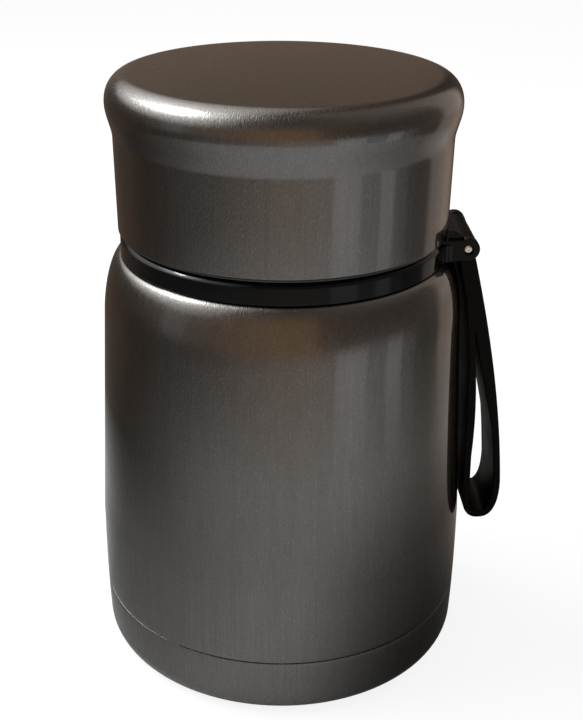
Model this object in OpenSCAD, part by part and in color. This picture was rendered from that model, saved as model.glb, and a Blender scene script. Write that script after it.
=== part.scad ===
// Insulated food jar: vacuum body, neck ring with a carrying strap,
// insulated stopper with a vent button, and a screw-on lid.
// Millimetres, +Z up, origin on the jar's axis at the face it stands on.

/* [Jar body] */
// Widest diameter of the body
body_d = 96; // [88:0.5:110]
// Height of the base cap, up to its seam
base_cap_h = 16; // [12:0.5:24]
// Height from the seam to the widest part of the body
belly_h = 21; // [12:1:40]
// Height from the widest part to the start of the shoulder
wall_h = 54.6; // [40:0.2:90]
// Height of the rounded shoulder
shoulder_h = 16.5; // [12:0.5:24]
// How far the body draws in, on its radius, at the start of the shoulder
shoulder_in = 2.3; // [0.5:0.1:3]
// How far the body draws in, on its radius, above the base corner
base_in = 0.6; // [0:0.1:2]
// Width of the rounded corner at the base
base_corner_w = 5.5; // [3:0.5:8]
// Height of the rounded corner at the base
base_corner_h = 6; // [3:0.5:8]
// Thickness of the steel sheet
steel_t = 0.6; // [0.5:0.05:0.8]

/* [Mouth and neck] */
// Inner diameter of the mouth
mouth_d = 66; // [62:0.5:67]
// Height of the neck above the shoulder
neck_h = 13; // [11:0.5:18]
// Vacuum gap between the two walls at the neck
neck_vacuum = 0.9; // [0.6:0.1:1]
// Vacuum gap between the two walls at the side of the body
side_vacuum = 4; // [3:0.5:7]
// Vacuum gap under the inner flask
floor_vacuum = 6; // [5:0.5:9]
// How far the bottom plate sits below the seam
plate_drop = 5; // [3:0.5:7]
// How far the bottom plate's rim laps above the seam
plate_lap = 4; // [3:0.5:6]
// Corner radius of the inner flask
flask_corner_r = 10; // [6:1:16]
// Radius of the bead that keeps the ring on the neck
bead_r = 0.7; // [0.6:0.05:0.8]

/* [Neck ring] */
// Outer diameter of the neck ring
ring_d = 82; // [82:0.5:84]
// Height of the neck ring
ring_h = 5.4; // [5:0.1:6]
// Thickness of the ring's outer wall
ring_wall = 2.2; // [1.8:0.1:2.4]
// Thickness of the ring's web
ring_web = 1.8; // [1.4:0.1:2]
// Thickness of each hinge ear
ear_t = 2.8; // [2.2:0.1:4]
// Radius of the rounded end of each ear
ear_r = 2.85; // [2.6:0.05:3]
// Height of the hinge pin's axis above the ring's lower face
pin_rise = 3; // [3:0.1:3.4]
// Distance from the ring's outer wall to the hinge pin's axis
pin_reach = 4.4; // [4.2:0.1:6]
// Diameter of the hinge pin
pin_d = 2.1; // [1.8:0.1:2.6]
// Radius of the blend between the ears and the ring
blend_r = 4; // [2:0.5:5]
// Rise of the hood between the ears above the ring's top, beside the lid
hood_rise = 2; // [1.4:0.1:2.4]
// Reach of the hood over the strap's barrel, from its lid side
hood_reach = 1.7; // [1.2:0.1:1.8]

/* [Strap] */
// Width of the strap
strap_w = 18; // [14:0.5:22]
// Thickness of the strap's band
strap_t = 1.9; // [1.5:0.1:2.4]
// Length of the strap below the pin's axis
strap_len = 78; // [66:1:84]
// Length of the solid stem below the pin's axis
stem_len = 22; // [18:1:30]
// Width of the loop near its lower end
loop_w = 10; // [8:0.2:14]

/* [Stopper] */
// Depth of the plug below the mouth
plug_depth = 20; // [14:1:28]
// Wall of the moulded stopper
stopper_wall = 1.8; // [1.5:0.1:2]
// Height of the stopper's head above its deck
head_h = 9.6; // [8:0.2:11]
// Thickness of the mouth seal
seal_t = 2; // [1.5:0.1:3]

/* [Vent] */
// Diameter of the vent button
button_d = 17; // [14:0.5:22]
// Travel of the vent button
button_travel = 2; // [1:0.2:2.4]
// How far the vent button stands above the stopper
button_proud = 0.8; // [0.4:0.1:1.2]
// Diameter of the vent stem
stem_d = 4; // [3:0.2:5]
// Diameter of the vent's valve disc
valve_d = 12; // [10:0.5:16]
// Wire thickness of the vent spring
spring_wire = 0.6; // [0.5:0.05:0.8]

/* [Lid] */
// Diameter of the lid's flared rim
lid_d = 87.3; // [86.5:0.1:92]
// Diameter of the lid's lower edge
lid_edge_d = 82.9; // [82.9:0.1:84]
// How far the lid's skirt widens, on its radius, below the flare
skirt_out = 0.5; // [0:0.1:0.8]
// Height of the lid's skirt
skirt_h = 23.1; // [22:0.1:30]
// Height of the flare between the skirt and the rim
flare_h = 8.7; // [6:0.1:12]
// Height of the rounded rim
rim_h = 6.6; // [5:0.1:9]
// Width of the rounded rim
rim_w = 6; // [4:0.5:9]
// Rise of the lid's top towards its middle
crown_h = 0.5; // [0.2:0.1:1]
// Wall of the plastic liner
liner_wall = 1.4; // [1.2:0.1:1.6]
// Thickness of the lid's seal
lid_seal_t = 1.6; // [1.2:0.1:2.4]
// Thickness of the foam over the lid's cup
lid_foam_t = 5; // [3:0.5:7]

/* [Clearances] */
// Gap between pieces that turn on each other
turn_gap = 0.3; // [0.2:0.05:0.35]
// Gap between pieces that are glued or seated together
seat_gap = 0.1; // [0.05:0.05:0.2]
// Gap between the thread walls, where the threads engage
thread_gap = 1; // [0.8:0.1:1.1]
// Radial clearance of the hinge pin in the strap
pin_gap = 0.06; // [0.02:0.01:0.1]

/* [Hidden] */

// Number of steps in a curved profile, and facets of a revolve.
arc_steps = 14;
$fn = 96;

// Heights up the jar.
belly_z = base_cap_h + belly_h;
shoulder_z = belly_z + wall_h;
seat_z = shoulder_z + shoulder_h;
mouth_z = seat_z + neck_h;

// Radii of the body and the neck.
body_r = body_d / 2;
base_r = body_r - base_in;
shoulder_r = body_r - shoulder_in;
mouth_r = mouth_d / 2;
neck_in_r = mouth_r + steel_t + neck_vacuum;
neck_r = neck_in_r + steel_t;

// Neck ring and its hinge.
ring_r = ring_d / 2;
ring_z = seat_z + seat_gap;
ring_top = ring_z + ring_h;
ring_bore = neck_r + turn_gap;
pin_x = ring_r + pin_reach;
pin_z = ring_z + pin_rise;
ear_in = strap_w / 2 + turn_gap;
ear_out = ear_in + ear_t;
pin_r = pin_d / 2;
bead_z = ring_z + ring_web + turn_gap + bead_r;

// Vacuum bottle's floor and flask.
plate_z = base_cap_h - plate_drop;
plate_r = belly(plate_z, steel_t) - seat_gap;
plate_top = base_cap_h + plate_lap;
port_r = 1.5;
port_dish_r = 8;
port_dish = 2;
getter_x = 18;
flask_out_r = body_r - max(shoulder_in, base_in) - steel_t - side_vacuum;
flask_r = flask_out_r - steel_t;
flask_floor = plate_z + steel_t + floor_vacuum;
flask_shoulder_z = shoulder_z - 2;
flask_neck_z = seat_z - steel_t - 3 * neck_vacuum;

// Pin in its ears, and the hood between the lid's edge and the strap's barrel.
edge_r = lid_edge_d / 2;
pin_seat = 0.02;
pin_sink = 0.6;
pin_ring = 0.35;
barrel_r = ear_r - 0.15;
hood_in = edge_r + turn_gap;
hood_x = pin_x - barrel_r - turn_gap + hood_reach;
hood_z = ring_top + hood_rise;
hood_fall = 1;

// Strap: its heights, and how far the shoulder stands out past the pin.
strap_gap = 0.4;
in_x = body_r + strap_gap;
out_x = in_x + loop_w;
low_z = pin_z - strap_len;
turn_out_z = low_z + 1.1 * loop_w;
turn_in_z = low_z + 0.74 * loop_w;
slit_z = pin_z - stem_len;
overhang = max(0, shoulder_r - pin_x);

// Small pieces of the vacuum bottle.
groove_w = 1.2;
groove_inset = 17;
getter_r = 4;
getter_h = 1.6;
foil_t = 0.3;

// Stopper.
deck_z = mouth_z + seal_t;
deck_top = deck_z + stopper_wall;
head_top = deck_top + head_h;
skirt_in = neck_r + thread_gap;
head_r = skirt_in + stopper_wall;
skirt_z = ring_z + ring_web + 2 * turn_gap + 2 * bead_r;
plug_r = mouth_r - turn_gap;
plug_z = mouth_z - plug_depth;
plug_in = plug_r - stopper_wall;
head_in = head_r - stopper_wall;
tube_in = stem_d / 2 + turn_gap;
tube_r = tube_in + stopper_wall;

// Vent.
button_r = button_d / 2;
button_h = 3;
spring_turns = 4;
well_r = button_r + turn_gap;
well_depth = button_h - button_proud + button_travel + (spring_turns + 1) * spring_wire;
well_floor = head_top - well_depth;
button_top = head_top + button_proud;
well_wall = 1.2;
well_out = well_r + well_wall;
tube_top = well_floor - well_wall - seat_gap;
valve_t = 1.6;
valve_low = plug_z - seat_gap - valve_t;
foot_w = 1;
foot_h = 1.2;
stem_low = valve_low - seat_gap - foot_h;
spring_r = stem_d / 2 + 1.6;

// Lid.
lid_gap = 0.4;
liner_lip = 0.8;
lid_z = ring_top + lid_gap;
edge_z = lid_z + liner_lip;
skirt_r = edge_r + skirt_out;
flare_z = edge_z + skirt_h;
rim_z = flare_z + flare_h;
rim_r = lid_d / 2;
rim_power = 2.2;
lid_top = rim_z + rim_h;
liner_in = head_r + thread_gap;
liner_r = liner_in + liner_wall;
ledge_z = head_top + turn_gap + lid_seal_t;
ledge_in = head_in - 0.4;
cup_r = ledge_in + liner_wall;
cup_top = lid_top - steel_t - lid_foam_t;

// Points of an elliptical arc, or of a squarer or a softer one where power isn't 2.
function arc(cx, cz, rx, rz, from, to, power = 2) = [
    for (i = [0 : arc_steps])
        let (a = from + (to - from) * i / arc_steps)
        [
            cx + rx * sign(cos(a)) * pow(abs(cos(a)), 2 / power),
            cz + rz * sign(sin(a)) * pow(abs(sin(a)), 2 / power)
        ]
];

// Points of a cubic curve between two ends.
function curve(p0, p1, p2, p3) = [
    for (i = [0 : arc_steps])
        let (t = i / arc_steps, u = 1 - t)
        u * u * u * p0 + 3 * u * u * t * p1 + 3 * u * t * t * p2 + t * t * t * p3
];

function reversed(pts) = [for (i = [len(pts) - 1 : -1 : 0]) pts[i]];

// Radius of the swell from the base corner up to the widest part.
function belly(z, inset) =
    let (t = (z - base_corner_h) / (belly_z - base_corner_h))
    body_r - inset - base_in * pow(1 - t, 3);

// Outer line of the body, from one height to the end of the shoulder, moved in by inset.
function side_line(from_z, inset) = [
    for (i = [0 : arc_steps])
        let (z = from_z + (belly_z - from_z) * i / arc_steps)
        [belly(z, inset), z]
];
function cap_line(inset) = [
    for (i = [1 : arc_steps])
        let (z = base_corner_h + (base_cap_h - seat_gap - base_corner_h) * i / arc_steps)
        [belly(z, inset), z]
];
function shoulder_line(inset) =
    arc(ring_r - inset, shoulder_z, shoulder_r - ring_r, shoulder_h - inset, 0, 90, 1.8);

module turned(pts) {
    rotate_extrude()
        polygon(pts);
}

module outer_shell() {
    color("dimgray")
        difference() {
            union() {
                turned(concat(
                    [[0, base_cap_h]],
                    side_line(base_cap_h, 0),
                    shoulder_line(0),
                    [[neck_r, seat_z], [neck_r, mouth_z - steel_t], [0, mouth_z - steel_t]]
                ));
                rotate_extrude()
                    translate([neck_r, bead_z])
                        circle(r = bead_r);
            }
            turned(concat(
                [[0, base_cap_h - 1], [belly(base_cap_h, steel_t), base_cap_h - 1]],
                side_line(base_cap_h, steel_t),
                shoulder_line(steel_t),
                [[neck_in_r, seat_z - steel_t], [neck_in_r, mouth_z], [0, mouth_z]]
            ));
        }
}

module base_cap() {
    groove_r = base_r - groove_inset;
    color("dimgray")
        difference() {
            turned(concat(
                [[0, 0]],
                arc(base_r - base_corner_w, base_corner_h, base_corner_w, base_corner_h, -90, 0),
                cap_line(0),
                [[0, base_cap_h - seat_gap]]
            ));
            turned(concat(
                [[0, steel_t]],
                arc(
                    base_r - base_corner_w, base_corner_h,
                    base_corner_w - steel_t, base_corner_h - steel_t, -90, 0
                ),
                cap_line(steel_t),
                [[belly(base_cap_h, steel_t), base_cap_h], [0, base_cap_h]]
            ));
            rotate_extrude()
                translate([groove_r, -groove_w / 4])
                    circle(r = groove_w / 2);
        }
}

module bottom_plate() {
    color("silver")
        difference() {
            turned([
                [0, plate_z - port_dish], [port_dish_r, plate_z - port_dish],
                [port_dish_r + port_dish, plate_z], [plate_r, plate_z],
                [plate_r, plate_top], [plate_r - steel_t, plate_top],
                [plate_r - steel_t, plate_z + steel_t],
                [port_dish_r + port_dish - steel_t / 2, plate_z + steel_t],
                [port_dish_r - steel_t / 2, plate_z - port_dish + steel_t],
                [0, plate_z - port_dish + steel_t]
            ]);
            translate([0, 0, plate_z - port_dish - 1])
                cylinder(r = port_r, h = steel_t + 2);
        }
}

module port_bead() {
    bead_seat = plate_z - port_dish;
    color("darkslategray")
        intersection() {
            translate([0, 0, bead_seat])
                sphere(r = 2 * port_r);
            translate([0, 0, bead_seat - port_r])
                cylinder(r = 3 * port_r, h = port_r);
        }
}

module getter() {
    color("gray")
        translate([getter_x, 0, plate_z + 2 * steel_t])
            cylinder(r = getter_r, h = getter_h);
}

// A strip with two turned-up arms that hold the getter.
module getter_clip() {
    color("silver")
        translate([getter_x, 0, plate_z + steel_t]) {
            arm_x = getter_r + seat_gap;
            translate([-arm_x - steel_t, -getter_r / 2, 0])
                cube([2 * (arm_x + steel_t), getter_r, steel_t]);
            for (side = [-1, 1])
                translate([side * (arm_x + steel_t / 2) - steel_t / 2, -getter_r / 2, 0])
                    cube([steel_t, getter_r, steel_t + getter_h]);
        }
}

// Line of the flask from the middle of its floor up to the neck, at one of its two faces.
function flask_line(r, floor, neck, corner) = concat(
    [[0, floor]],
    arc(r - corner, floor + corner, corner, corner, -90, 0),
    arc(neck, flask_shoulder_z, r - neck, flask_neck_z - flask_shoulder_z, 0, 90)
);

module inner_flask() {
    color("silver")
        difference() {
            turned(concat(
                flask_line(flask_out_r, flask_floor, mouth_r + steel_t, flask_corner_r),
                [
                    [mouth_r + steel_t, mouth_z - steel_t], [neck_r, mouth_z - steel_t],
                    [neck_r, mouth_z], [0, mouth_z]
                ]
            ));
            turned(concat(
                flask_line(
                    flask_r, flask_floor + steel_t, mouth_r, flask_corner_r - steel_t
                ),
                [[mouth_r, mouth_z + 1], [0, mouth_z + 1]]
            ));
        }
}

module foil_wrap() {
    foil_r = flask_out_r + seat_gap;
    foil_z = flask_floor + flask_corner_r;
    color("peru")
        translate([0, 0, foil_z])
            difference() {
                cylinder(r = foil_r + foil_t, h = flask_shoulder_z - foil_z);
                translate([0, 0, -1])
                    cylinder(r = foil_r, h = flask_shoulder_z - foil_z + 2);
            }
}

// The fillet between one side of the hinge block and the ring's outer wall.
module ear_blend() {
    reach = sqrt(pow(ring_r + blend_r, 2) - pow(ear_out + blend_r, 2));
    touch = ring_r / (ring_r + blend_r);
    difference() {
        polygon([
            [reach, ear_out], [reach * touch, (ear_out + blend_r) * touch],
            [reach * touch - ring_wall / 2, ear_out - ring_wall / 2],
            [reach - ring_wall / 2, ear_out - ring_wall / 2]
        ]);
        translate([reach, ear_out + blend_r])
            circle(r = blend_r);
    }
}

module ear_outline() {
    root_x = sqrt(pow(ring_r - ring_wall / 2, 2) - pow(ear_out, 2));
    translate([pin_x, pin_z])
        circle(r = ear_r);
    translate([root_x, ring_z])
        square([pin_x - root_x, ring_h]);
}

// Side view of the hood that closes the space between the lid and the strap's barrel.
module hood_outline() {
    wall_x = ring_r - ring_wall / 2;
    difference() {
        polygon([
            [wall_x, pin_z + turn_gap], [pin_x, pin_z + turn_gap],
            [hood_x, hood_z - hood_fall], [hood_in, hood_z], [wall_x, hood_z]
        ]);
        translate([pin_x, pin_z])
            circle(r = barrel_r + turn_gap);
    }
}

module strap_ring() {
    edge_round = 0.8;
    color("black")
        difference() {
            union() {
                turned(concat(
                    [[ring_bore, ring_z], [ring_r, ring_z]],
                    arc(ring_r - edge_round, ring_top - edge_round, edge_round, edge_round, 0, 90),
                    [
                        [ring_r - ring_wall, ring_top], [ring_r - ring_wall, ring_z + ring_web],
                        [ring_bore, ring_z + ring_web]
                    ]
                ));
                translate([0, ear_in + ear_t / 2, 0])
                    rotate([90, 0, 0])
                        linear_extrude(2 * ear_in + ear_t)
                            hood_outline();
                for (side = [-1, 1]) {
                    translate([0, side * (ear_in + ear_t / 2) + ear_t / 2, 0])
                        rotate([90, 0, 0])
                            linear_extrude(ear_t)
                                ear_outline();
                    translate([0, 0, ring_z])
                        linear_extrude(ring_h - edge_round)
                            mirror([0, side < 0 ? 1 : 0])
                                ear_blend();
                }
            }
            translate([0, 0, ring_top])
                cylinder(r = hood_in, h = 2 * hood_rise);
            translate([pin_x, ear_out + 1, pin_z])
                rotate([90, 0, 0])
                    cylinder(r = pin_r + pin_seat, h = 2 * ear_out + 2);
            for (side = [-1, 1])
                translate([pin_x, side * ear_out + pin_sink, pin_z])
                    rotate([90, 0, 0])
                        cylinder(r = pin_r + pin_ring, h = 2 * pin_sink);
        }
}

module hinge_pin() {
    half = ear_out - pin_sink / 2;
    color("silver")
        translate([pin_x, half, pin_z])
            rotate([90, 0, 0])
                cylinder(r = pin_r, h = 2 * half);
}

// Outer and inner lines of the strap, seen from its side.
outer_line = curve(
    [pin_x + 0.7 * ear_r, pin_z - 0.4 * ear_r],
    [pin_x + 2.6 * ear_r + 2.1 * overhang, pin_z - 0.33 * strap_len + 2.5 * overhang],
    [out_x - 0.12 * loop_w, turn_out_z + 0.27 * strap_len], [out_x, turn_out_z]
);
inner_line = curve(
    [in_x, turn_in_z], [in_x - strap_gap, turn_in_z + 0.4 * strap_len],
    [in_x + strap_gap / 2 + overhang, shoulder_z - 0.16 * shoulder_h + overhang],
    [pin_x - 0.8 * ear_r, pin_z - 0.5 * ear_r]
);
function line_x(line, z) = lookup(z, [for (p = line) [p[1], p[0]]]);

// Side view of the strap's stem and teardrop loop, without the barrel.
module strap_outline() {
    turn_x = in_x + 0.45 * loop_w;
    turn_power = 2.5;
    polygon(concat(
        outer_line,
        arc(turn_x, turn_out_z, out_x - turn_x, turn_out_z - low_z, 0, -90, turn_power),
        arc(turn_x, turn_in_z, turn_x - in_x, turn_in_z - low_z, -90, -180, turn_power),
        inner_line
    ));
}

// The wedge that the loop's opening starts with, below the solid stem.
module loop_wedge() {
    left_z = slit_z - 0.25 * strap_len;
    heel_z = slit_z - 0.4 * strap_len;
    right_z = slit_z - 0.3 * strap_len;
    polygon([
        [0.68 * line_x(inner_line, slit_z) + 0.32 * line_x(outer_line, slit_z), slit_z],
        [line_x(inner_line, left_z) + 1.4 * strap_t, left_z],
        [line_x(inner_line, heel_z) + 1.35 * strap_t, heel_z],
        [in_x, low_z], [out_x, low_z], [out_x, turn_out_z],
        [line_x(outer_line, right_z) - 1.3 * strap_t, right_z]
    ]);
}

module strap_band() {
    difference() {
        strap_outline();
        intersection() {
            offset(delta = -strap_t)
                strap_outline();
            loop_wedge();
        }
    }
}

module strap() {
    color("black")
        translate([0, strap_w / 2, 0])
            rotate([90, 0, 0])
                difference() {
                    union() {
                        linear_extrude(strap_w)
                            strap_band();
                        translate([pin_x, pin_z, 0])
                            cylinder(r = barrel_r, h = strap_w);
                    }
                    translate([pin_x, pin_z, -1])
                        cylinder(r = pin_r + pin_gap, h = strap_w + 2);
                }
}

module stopper_body() {
    color([0.12, 0.12, 0.13])
        difference() {
            turned([
                [0, plug_z], [plug_r, plug_z], [plug_r, deck_z], [skirt_in, deck_z],
                [skirt_in, skirt_z], [head_r, skirt_z], [head_r, head_top],
                [head_in, head_top], [head_in, deck_top], [plug_in, deck_top],
                [plug_in, plug_z + stopper_wall], [tube_r, plug_z + stopper_wall],
                [tube_r, tube_top], [0, tube_top]
            ]);
            translate([0, 0, plug_z - 1])
                cylinder(r = tube_in, h = tube_top - plug_z + 2);
        }
}

module stopper_cover() {
    color([0.16, 0.16, 0.17])
        turned([
            [tube_in, tube_top + seat_gap], [well_out, tube_top + seat_gap],
            [well_out, head_top - stopper_wall], [head_in - seat_gap, head_top - stopper_wall],
            [head_in - seat_gap, head_top], [well_r, head_top], [well_r, well_floor],
            [tube_in, well_floor]
        ]);
}

module stopper_foam() {
    foam_top = head_top - stopper_wall - seat_gap;
    color("wheat")
        turned([
            [tube_r + seat_gap, plug_z + stopper_wall + seat_gap],
            [plug_in - seat_gap, plug_z + stopper_wall + seat_gap],
            [plug_in - seat_gap, deck_top + seat_gap], [head_in - seat_gap, deck_top + seat_gap],
            [head_in - seat_gap, foam_top], [well_out + seat_gap, foam_top],
            [well_out + seat_gap, tube_top], [tube_r + seat_gap, tube_top]
        ]);
}

module stopper_seal() {
    seal_in = plug_r + turn_gap;
    seal_out = skirt_in - turn_gap;
    round_r = (seal_t - seat_gap) / 2;
    color("whitesmoke")
        rotate_extrude() {
            translate([seal_in, mouth_z + seat_gap])
                square([seal_out - round_r - seal_in, 2 * round_r]);
            translate([seal_out - round_r, mouth_z + seat_gap + round_r])
                circle(r = round_r);
        }
}

module vent_button() {
    edge_round = 0.7;
    stem_r = stem_d / 2;
    color([0.75, 0.75, 0.75])
        turned(concat(
            [
                [0, stem_low], [stem_r + foot_w, stem_low], [stem_r + foot_w, valve_low - seat_gap],
                [stem_r, valve_low - seat_gap], [stem_r, button_top - button_h],
                [button_r, button_top - button_h]
            ],
            arc(button_r - edge_round, button_top - edge_round, edge_round, edge_round, 0, 90),
            [[button_r / 2, button_top], [0, button_top - 0.4]]
        ));
}

module vent_valve() {
    color("whitesmoke")
        translate([0, 0, valve_low])
            difference() {
                cylinder(r = valve_d / 2, h = valve_t);
                translate([0, 0, -1])
                    cylinder(r = stem_d / 2 + seat_gap / 2, h = valve_t + 2);
            }
}

// Wire wound in a helix, with a close turn at each end.
module vent_spring() {
    sides = 8;
    per_turn = 20;
    wire_r = spring_wire / 2;
    bottom = well_floor + wire_r + seat_gap / 2;
    rise = button_top - button_h - wire_r - seat_gap / 2 - bottom;
    count = spring_turns * per_turn;
    close_rise = spring_wire * 1.1;
    open_rise = rise - 2 * close_rise;
    function share(i, from, steps) = min(1, max(0, (i - from) / steps));
    function level(i) =
        bottom
        + close_rise * share(i, 0, per_turn)
        + open_rise * share(i, per_turn, count - 2 * per_turn)
        + close_rise * share(i, count - per_turn, per_turn);
    function ring(i) = [
        for (k = [0 : sides - 1])
            let (turn = 360 * i / per_turn, a = 360 * k / sides, r = spring_r + wire_r * cos(a))
            [r * cos(turn), r * sin(turn), level(i) + wire_r * sin(a)]
    ];
    points = [for (i = [0 : count]) each ring(i)];
    skin = [
        for (i = [0 : count - 1], k = [0 : sides - 1])
            let (n = (k + 1) % sides)
            [i * sides + k, i * sides + n, (i + 1) * sides + n, (i + 1) * sides + k]
    ];
    start_cap = [for (k = [sides - 1 : -1 : 0]) k];
    end_cap = [for (k = [0 : sides - 1]) count * sides + k];
    color("silver")
        polyhedron(points = points, faces = concat(skin, [start_cap, end_cap]));
}

// Points of the lid's top, raised by its shallow dome.
function crowned(pts) = [for (p = pts) [p[0], p[1] + crown_h * (1 - pow(p[0] / rim_r, 2))]];

// Outer line of the lid from its lower edge to the middle of its top, moved in by inset.
function lid_line(inset) = concat(
    [[edge_r - inset, edge_z]],
    [
        for (i = [0 : arc_steps])
            let (t = i / arc_steps, s = t * t * (3 - 2 * t))
            [skirt_r - inset + (rim_r - skirt_r) * s, flare_z + flare_h * t]
    ],
    crowned(concat(
        arc(rim_r - rim_w, rim_z, rim_w - inset, rim_h - inset, 0, 90, rim_power),
        [for (i = [1 : arc_steps]) [(rim_r - rim_w) * (1 - i / arc_steps), lid_top - inset]]
    ))
);

module lid_shell() {
    color("gray")
        turned(concat(lid_line(0), reversed(lid_line(steel_t))));
}

module lid_liner() {
    corner_r = 5;
    lip_r = edge_r - 0.4;
    ceiling = cup_top - liner_wall;
    color([0.1, 0.1, 0.1])
        turned(concat(
            [
                [liner_in, lid_z], [lip_r, lid_z], [lip_r, edge_z - seat_gap],
                [liner_r, edge_z - seat_gap], [liner_r, ledge_z + liner_wall],
                [cup_r, ledge_z + liner_wall]
            ],
            arc(cup_r - corner_r, cup_top - corner_r, corner_r, corner_r, 0, 90),
            [[0, cup_top], [0, ceiling]],
            arc(cup_r - corner_r, cup_top - corner_r, corner_r - liner_wall, corner_r - liner_wall, 90, 0),
            [[ledge_in, ledge_z], [liner_in, ledge_z]]
        ));
}

module lid_foam() {
    inset = steel_t + 2 * seat_gap;
    low_z = ledge_z + liner_wall + seat_gap;
    corner_r = 5;
    color("wheat")
        turned(concat(
            [[cup_r + seat_gap, low_z]],
            [[skirt_r - inset, low_z]],
            [for (p = lid_line(inset)) if (p[1] > low_z) p],
            [[0, cup_top + seat_gap]],
            reversed(arc(
                cup_r - corner_r, cup_top - corner_r, corner_r + seat_gap, corner_r + seat_gap, 0, 90
            ))
        ));
}

module lid_seal() {
    color("whitesmoke")
        translate([0, 0, head_top + turn_gap])
            difference() {
                cylinder(r = liner_in - turn_gap, h = lid_seal_t - seat_gap);
                translate([0, 0, -1])
                    cylinder(r = ledge_in + turn_gap, h = lid_seal_t + 2);
            }
}

outer_shell();
base_cap();
bottom_plate();
port_bead();
getter();
getter_clip();
inner_flask();
foil_wrap();
strap_ring();
hinge_pin();
strap();
stopper_body();
stopper_cover();
stopper_foam();
stopper_seal();
vent_button();
vent_spring();
vent_valve();
lid_shell();
lid_liner();
lid_foam();
lid_seal();
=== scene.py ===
"""Insulated food jar: skins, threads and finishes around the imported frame, with its light and camera."""
import math

import bmesh
import bpy
from mathutils import Matrix, Vector

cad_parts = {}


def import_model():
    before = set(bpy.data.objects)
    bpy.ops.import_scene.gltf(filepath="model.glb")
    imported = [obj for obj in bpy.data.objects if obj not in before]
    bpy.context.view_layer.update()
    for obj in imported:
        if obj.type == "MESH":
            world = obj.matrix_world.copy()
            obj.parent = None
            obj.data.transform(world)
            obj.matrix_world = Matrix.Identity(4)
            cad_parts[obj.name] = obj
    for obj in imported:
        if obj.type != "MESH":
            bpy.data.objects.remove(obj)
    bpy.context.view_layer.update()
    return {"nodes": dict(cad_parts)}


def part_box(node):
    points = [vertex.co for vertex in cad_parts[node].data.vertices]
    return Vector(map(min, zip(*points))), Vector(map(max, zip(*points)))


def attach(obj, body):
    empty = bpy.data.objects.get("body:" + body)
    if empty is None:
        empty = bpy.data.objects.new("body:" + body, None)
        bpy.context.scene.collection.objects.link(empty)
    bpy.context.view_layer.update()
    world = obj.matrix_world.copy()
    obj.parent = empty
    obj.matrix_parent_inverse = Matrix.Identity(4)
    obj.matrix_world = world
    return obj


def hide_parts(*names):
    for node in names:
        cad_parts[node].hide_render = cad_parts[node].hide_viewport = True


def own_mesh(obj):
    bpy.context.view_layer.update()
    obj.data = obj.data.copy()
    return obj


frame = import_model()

MM = 0.001
TINY = 1e-6


def low(node):
    """Lowest height of a CAD node, in millimetres."""
    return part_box(node)[0][2] / MM


def top(node):
    """Highest height of a CAD node, in millimetres."""
    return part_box(node)[1][2] / MM


def reach(node):
    """How far a CAD node reaches to the side of the jar's axis, in millimetres."""
    lowest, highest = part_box(node)
    return max(-lowest[0], highest[1]) / MM


# Jar body, in millimetres.
BODY_R, BASE_IN, SHOULDER_IN, SHOULDER_POWER = reach("outer_shell"), 0.6, 2.3, 1.8
SEAM_Z, BELLY_Z, SHOULDER_Z, SEAT_Z = low("outer_shell"), 37.0, 91.6, 108.1
BASE_CORNER_W, BASE_CORNER_H = 5.5, 6.0
GROOVE_INSET, GROOVE_W = 17.0, 1.2
STEEL = 0.6
MOUTH_R, MOUTH_Z = 33.0, top("inner_flask")
NECK_R, NECK_IN_R = 35.1, 34.5
BEAD_R, BEAD_Z = 0.7, 111.0
FLASK_R, FLASK_CORNER, FLASK_FLOOR = reach("inner_flask"), 10.0, low("inner_flask")
FLASK_SHOULDER_Z, FLASK_NECK_Z = 89.6, 104.8
SEAT_GAP, TURN_GAP, THREAD_GAP = 0.1, 0.3, 1.0
# The rolled edges at the seam: how far in and away from the edge each point is, and where the wall begins.
ROLL, ROLL_H = ((0.3, 0.0), (0.08, 0.1)), 0.35

# Neck ring, its ears, its hood and the pin.
RING_R, RING_BORE, RING_WALL, RING_WEB = reach("strap_ring"), 35.4, 2.2, 1.8
RING_Z, RING_H = low("strap_ring"), 5.4
RING_TOP = RING_Z + RING_H
RING_MID = RING_R - RING_WALL / 2
EDGE_ROUND, EDGE_POWER = 1.2, 1.12
EAR_IN, EAR_OUT, EAR_R, BLEND_R = 9.3, 12.1, 2.85, 4.0
PIN_X, PIN_Z, PIN_R = 45.4, RING_Z + 3.0, 1.05
PIN_SINK, PIN_RING = 0.6, 0.35
BARREL_R = EAR_R - 0.15
FILLET_SINK = 1.1

# Strap.
STRAP_W, STRAP_T, STRAP_LEN, STEM_LEN, LOOP_W = 2 * reach("strap"), 1.9, 78.0, 22.0, 10.0
STRAP_GAP = 0.4
STRAP_IN, STRAP_LOW = BODY_R + STRAP_GAP, PIN_Z - STRAP_LEN
STRAP_OUT = STRAP_IN + LOOP_W
TURN_OUT_Z, TURN_IN_Z = STRAP_LOW + 1.1 * LOOP_W, STRAP_LOW + 0.74 * LOOP_W

# Stopper and its vent.
HEAD_R, HEAD_TOP, PLUG_Z = reach("stopper_body"), top("stopper_body"), low("stopper_body")
STOPPER_WALL, SEAL_T = 1.8, 2.0
HEAD_IN = HEAD_R - STOPPER_WALL
PLUG_R = MOUTH_R - TURN_GAP
BUTTON_R, BUTTON_H, BUTTON_TOP = reach("vent_button"), 3.0, top("vent_button")
STEM_R, FOOT_W, FOOT_H = 2.0, 1.0, 1.2
TUBE_IN = STEM_R + TURN_GAP
TUBE_R = TUBE_IN + STOPPER_WALL

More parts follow.
